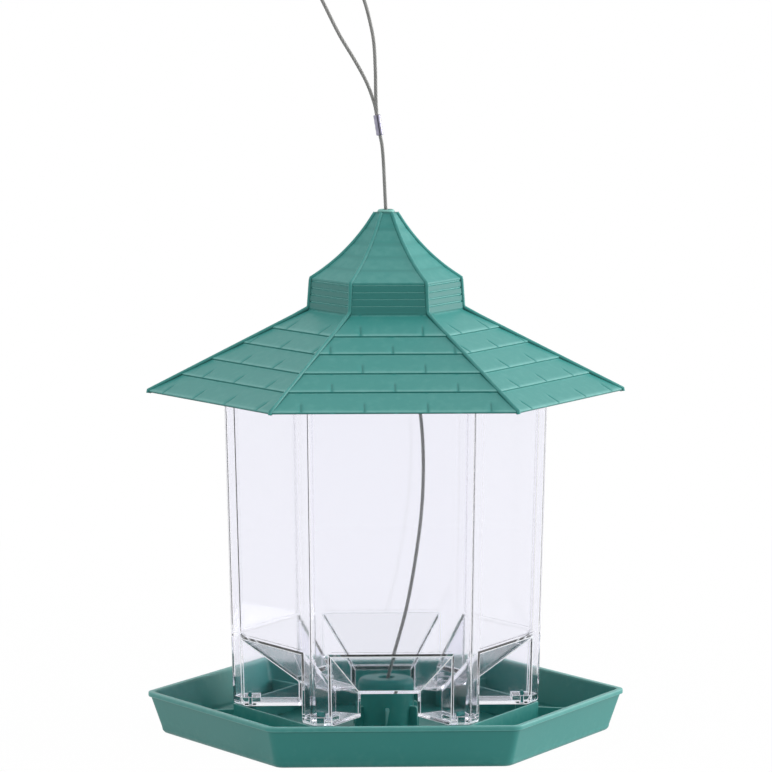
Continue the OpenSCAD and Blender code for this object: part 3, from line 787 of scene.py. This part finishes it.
# Six ribs from the well to the corners, their tops falling evenly outwards
def cornerRib(o):
    start = o["wellR"] - o["ribT"]
    end = o["bottomR"] - o["wall"] / flatRatio - 1
    x = np.linspace(start, end + 1.2, 12)
    share = (x - start) / (end + 1.2 - start)
    low = o["wall"] - o["sunk"] + np.clip((share - 0.8) * 5, 0, 1) * 3.3     # clears the wall's bend
    return bar(x, low, o["ribH"] + o["ribFall"] * (1 - share), o["ribT"], 0.5)


ribLoft, ribTopHighlight = cornerRib(tray)
trayRibs = makePiece("trayRibs", sixTimes(ribLoft), tones=np.tile(ribTopHighlight.ravel(), 6), sharp=50, recalc=True)


# Post: a capped tube with a flange at its foot, turned about Z
def postProfile(o):
    r, e = o["postR"], o["postEdge"]
    hollow, ceiling = r - o["postWall"], o["postH"] - o["postWall"]
    foot = arc(r + o["footOut"] - 0.5, o["wall"] + o["footH"] - 0.5, 0.5, 0, 90, 4)
    neck = arc(r + 0.8, o["wall"] + o["footH"] + 0.8, 0.8, 270, 180, 5)
    shoulder = arc(r - e, o["postH"] - e, e, 0, 90, 10)
    mouth = [[o["holeR"] + 2.4, o["postH"]]] + arc(o["holeR"] + 0.4, o["postH"] - 0.4, 0.4, 90, 180, 4)
    return ([[hollow, 0], [r + o["footOut"], o["wall"] - o["sunk"]]] + foot + neck + shoulder + mouth
            + [[o["holeR"], ceiling], [hollow, ceiling]])


trayPost = makePiece("trayPost", [lathe(postProfile(tray), 120)], sharp=50)


# Thin fins round the post, their tops rounded over
def gussetPart(o):
    x = np.linspace(o["postR"] - 0.6, o["postR"] + o["gussetOut"], 8)
    share = np.clip((x - x[-3]) / (x[-1] - x[-3]), 0, 1)
    return bar(x, o["wall"] - o["sunk"], o["gussetTop"] - 0.9 * share ** 2, o["gussetT"], 0.6)


finLoft, finTopHighlight = gussetPart(tray)
# the gussets' tops get a stronger painted highlight
trayGussets = makePiece("trayGussets", sixTimes(finLoft, 30), tones=np.tile(finTopHighlight.ravel() * 1.2, 6),
                        sharp=50, recalc=True)


# Pedestal under each foot, and the barbed tab that stands up through the foot
def tabParts(o):
    half = o["pedestalLen"] / 2
    along = np.linspace(o["slotAt"] - half, o["slotAt"] + half, 4)
    stand = bar(along, o["wall"] - o["sunk"], o["ledge"], o["pedestalW"], 0.3)[0]
    a, b, top = o["slotAt"] - o["tabT"] / 2, o["slotAt"] + o["tabT"] / 2, o["blockTop"]
    tab = slab([[a, o["ledge"] - 1], [b, o["ledge"] - 1], [b, top + 0.1], [b + o["barb"], top + 0.1],
                [b, top + 2], [a, top + 2]], o["tabW"])
    return sixTimes(stand) + sixTimes(tab)


trayTabs = makePiece("trayTabs", tabParts(tray), sharp=30, bevel=0.15, recalc=True)
print("tray made")


hopper = {
    "edge": 0.3, "turn": 25,               # rounding, and the least turn in degrees of a rounded edge
    "merge": 0.02, "flat": 0.8,            # points this near are one, faces this near in tilt are one
    "plainFrom": 49, "plainTo": 188,       # between these heights the sunk panels keep crisp edges
}


# The clear moulding as the CAD has it, with its points merged, its flat faces whole
# again and its edges rounded above and below the sunk panels
def clearMoulding(o):
    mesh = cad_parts["hopper"].data.copy()
    work = bmesh.new()
    work.from_mesh(mesh)
    bmesh.ops.remove_doubles(work, verts=work.verts, dist=o["merge"] * mm)
    bmesh.ops.dissolve_limit(work, angle_limit=math.radians(o["flat"]), verts=work.verts, edges=work.edges)
    weights = work.edges.layers.float.new("bevel_weight_edge")
    for edge in work.edges:
        z = (edge.verts[0].co.z + edge.verts[1].co.z) / 2 / mm
        turns = edge.calc_face_angle(0) > math.radians(o["turn"])
        edge[weights] = 1.0 if turns and not o["plainFrom"] < z < o["plainTo"] else 0.0
    work.to_mesh(mesh)
    work.free()
    mesh.name = "hopperShell"
    mesh.polygons.foreach_set("use_smooth", np.zeros(len(mesh.polygons), bool))
    piece = bpy.data.objects.new("hopperShell", mesh)
    scene.collection.objects.link(piece)
    soft = softenEdges(piece, o["edge"])
    soft.limit_method = "WEIGHT"
    soft.use_clamp_overlap = False
    # the second finish paints the rounded edges with a glow
    soft.material = 1                      # rounded edges take the second finish
    return piece


hopperShell = clearMoulding(hopper)
print("hopper made")


# Moulded plastic: slow and fine changes of shade, painted highlights on edges and tops and
# painted shade in grooves and under lips, both following the tone attribute, and a fine moulded grain
def mouldedPlastic(name, base, light, dark, rough):
    f = newMaterial(name)
    tone = f.attribute("tone")
    slow = f.noise(9, 3)
    fine = f.noise(240, 3)
    specks = f.noise(1500, 1)
    shade = (slow - 0.5) * 0.28 + (fine - 0.5) * 0.16
    body = f.mix((shade + 0.5).above(0.0).below(1.0), scaled(base, 0.9), scaled(base, 1.1))
    # painted highlight where the tone is above 0, with a little fine noise
    highlit = f.mix(((tone + (fine - 0.5) * 0.5) * 0.5).above(0.0).below(0.8), body, light)
    # painted shade where the tone is below 0
    final = f.mix((tone * -0.7).above(0.0).below(0.85), highlit, dark)
    roughness = rough + (slow - 0.5) * 0.12 + (specks - 0.5) * 0.1
    grain = f.bump(specks * 0.6 + fine * 0.8, 0.25, 0.05)
    return f.principled(Base_Color=final, Roughness=roughness, Normal=grain, IOR=1.49,
                        Specular_IOR_Level=0.4)


# Clear moulding: glass-clear with faint flow ripples and a slightly uneven gloss
def clearPlastic(name, tint):
    f = newMaterial(name)
    slow = f.noise(14, 2)
    fine = f.noise(420, 2)
    return f.principled(Base_Color=tint, Roughness=0.02 + slow * 0.03 + fine * 0.015, IOR=1.49,
                        Transmission_Weight=0.985, Normal=f.bump(slow + fine * 0.04, 0.12, 0.4))


# Rounded edges of the clear moulding: a cloudy white with a painted glow from emission, though they are no
# lamp, so they look whiter
def glowingClearEdges(name, tint, cloudy):
    f = newMaterial(name)
    cloud = f.noise(160, 2)
    return f.principled(Base_Color=f.mix(cloud, tint, cloudy), Roughness=0.4 + cloud * 0.1, IOR=1.49,
                        Transmission_Weight=0.3, Emission_Color=tint, Emission_Strength=0.4,
                        Normal=f.bump(cloud, 0.1, 0.1))


# Stranded steel: crowns in the steel's own colour, painted shade darkening the valleys between strands, and
# fine wires winding with the lay
def strandedSteel(name, light, dark, valley):
    f = newMaterial(name)
    tone = f.attribute("tone")
    u = f.node("ShaderNodeSeparateXYZ", None, {0: f.node("ShaderNodeUVMap", {"uv_map": "wind"})})
    v = u.beside(1)
    wires = (u * (2 * math.pi * 24) - v * (2 * math.pi * 44)).sine()
    dirt = f.noise(180, 3)
    base = f.mix((0.35 + dirt * 0.5 + wires * 0.12).above(0.0).below(1.0), dark, light)
    # painted shade in the valleys, towards the valley colour
    final = f.mix((tone * -1.0).above(0.0).below(0.9), base, valley)
    return f.principled(Base_Color=final, Metallic=0.75, Roughness=0.34 + dirt * 0.2,
                        Normal=f.bump(wires, 0.5, 0.05))


# Pressed metal: fine marks from the tool, dulled here and there, and painted shade where the tone is below 0
def pressedMetal(name, light, dark, rough, scale):
    f = newMaterial(name)
    slow = f.noise(scale, 3)
    marks = f.noise(scale * 9, 2)
    base = f.mix((slow * 1.2 - 0.1).above(0.0).below(1.0), dark, light)
    shadedCrease = f.mix((f.attribute("tone") * -0.9).above(0.0).below(0.95), base, scaled(dark, 0.12))
    return f.principled(Base_Color=shadedCrease, Metallic=0.9, Roughness=rough + (marks - 0.5) * 0.25,
                        Normal=f.bump(marks + slow * 0.5, 0.3, 0.08))


tints = {
    # the green and bush Highlight and Shade colours are painted highlight and painted shade for the tone
    "green": (50, 142, 136), "greenHighlight": (140, 204, 198), "greenShade": (18, 66, 62),
    "bush": (126, 192, 182), "bushHighlight": (180, 222, 214), "bushShade": (60, 120, 112),
    "clear": (249, 249, 254), "edge": (246, 247, 252),
    "steel": (186, 186, 184), "steelDull": (112, 112, 110), "steelValleyShade": (44, 42, 40),
    "crimp": (176, 174, 192), "crimpDull": (126, 124, 140),
    "zinc": (200, 200, 196), "zincDull": (150, 150, 148),
}
paint = {name: colour(*rgb) for name, rgb in tints.items()}

green = mouldedPlastic("greenPlastic", paint["green"], paint["greenHighlight"], paint["greenShade"], 0.42)
bushGreen = mouldedPlastic("bushPlastic", paint["bush"], paint["bushHighlight"], paint["bushShade"], 0.4)
clear = clearPlastic("clearPlastic", paint["clear"])
clearEdgeGlow = glowingClearEdges("glowingClearEdges", paint["edge"], (0.9, 0.92, 0.95, 1))
steel = strandedSteel("wireRope", paint["steel"], paint["steelDull"], paint["steelValleyShade"])
crimp = pressedMetal("crimpMetal", paint["crimp"], paint["crimpDull"], 0.32, 220)
zinc = pressedMetal("washerSteel", paint["zinc"], paint["zincDull"], 0.36, 160)

place(wireRope, "rope", "wire_rope", steel, "cable")
place(loopSleeve, "rope", "crimp_metal", crimp, "loop_ferrule")
place(anchorStop, "rope", "crimp_metal", crimp, "anchor_ferrule")
place(anchorWasher, "rope", "washer_steel", zinc, "anchor_washer")
place(roofShell, "roof_cap", "green_plastic", green, "roof")
place(roofRibs, "roof_cap", "green_plastic", green)
place(tipBush, "roof_cap", "bush_plastic", bushGreen, "roof_bush")
place(trayDish, "base", "green_plastic", green, "tray")
for piece in (trayWell, trayRibs, trayPost, trayGussets, trayTabs):
    place(piece, "base", "green_plastic", green)
place(hopperShell, "base", "clear_plastic", clear, "hopper")
hopperShell.data.materials.append(clearEdgeGlow)

print("finishes given")


studio = {
    "floorHalf": 6.0, "floorShade": 0.75, "ambient": 0.5,
    "floorGlow": 0.99, "fadeFrom": 0.25, "fadeOver": 0.5,    # near the object the floor keeps a faint shadow
    "lamps": [                                               # name, place, aim, size, power
        ("keyRight", (2.0, 0.35, 0.75), (0, 0, 0.17), 1.5, 36),
        ("fillLeft", (-2.0, 0.5, 0.8), (0, 0, 0.15), 1.5, 3),
        ("top", (0.1, -0.2, 2.3), (0, 0, 0.2), 2.0, 17),
    ],
}

floorMesh = bpy.data.meshes.new("floor")
side = studio["floorHalf"]
floorCorners = [(-side, -side, 0), (side, -side, 0), (side, side, 0), (-side, side, 0)]
floorMesh.from_pydata(floorCorners, [], [(0, 1, 2, 3)])
floor = bpy.data.objects.new("floor", floorMesh)
floor.location.z = cadBox[0].z - 0.0004
scene.collection.objects.link(floor)


# Rays that come straight from the eye, off a gloss or through something clear
def seenShare(f):
    eye = f.node("ShaderNodeLightPath", None, None, "Is Camera Ray")
    return (eye + eye.beside("Is Glossy Ray") + eye.beside("Is Transmission Ray")).below(1.0)


paper = newMaterial("paleFloor")
shade = studio["floorShade"]
plain = paper.node("ShaderNodeBsdfDiffuse", None, {"Color": (shade, shade, shade, 1)})
glow = paper.node("ShaderNodeEmission", None, {"Color": (1, 1, 1, 1), "Strength": 1.0})
away = paper.node("ShaderNodeVectorMath", {"operation": "LENGTH"}, {0: paper.here()}, "Value")
edge = ((away - studio["fadeFrom"]) * (1 / studio["fadeOver"])).above(0.0).below(1.0)
share = studio["floorGlow"] + edge * (1 - studio["floorGlow"])
floorLook = paper.node("ShaderNodeMixShader", None, {0: seenShare(paper) * share, 1: plain, 2: glow})
floorMesh.materials.append(paper.show(floorLook))

scene.world = bpy.data.worlds.new("studio")
sky = Finish(scene.world, "ShaderNodeOutputWorld")
dim = sky.node("ShaderNodeBackground", None, {"Color": (1, 1, 1, 1), "Strength": studio["ambient"]})
white = sky.node("ShaderNodeBackground", None, {"Color": (1, 1, 1, 1), "Strength": 1.0})
sky.show(sky.node("ShaderNodeMixShader", None, {0: seenShare(sky), 1: dim, 2: white}))

for name, spot, target, size, power in studio["lamps"]:
    lampData = bpy.data.lights.new(name, "AREA")
    lampData.size = size
    lampData.energy = power
    lamp = bpy.data.objects.new(name, lampData)
    aim = np.array(target) - np.array(spot)
    flatLen = math.hypot(aim[0], aim[1])
    lamp.location = spot
    lamp.rotation_euler = (math.atan2(flatLen, -aim[2]), 0, math.atan2(aim[1], aim[0]) - math.pi / 2)
    scene.collection.objects.link(lamp)
print("studio lit")
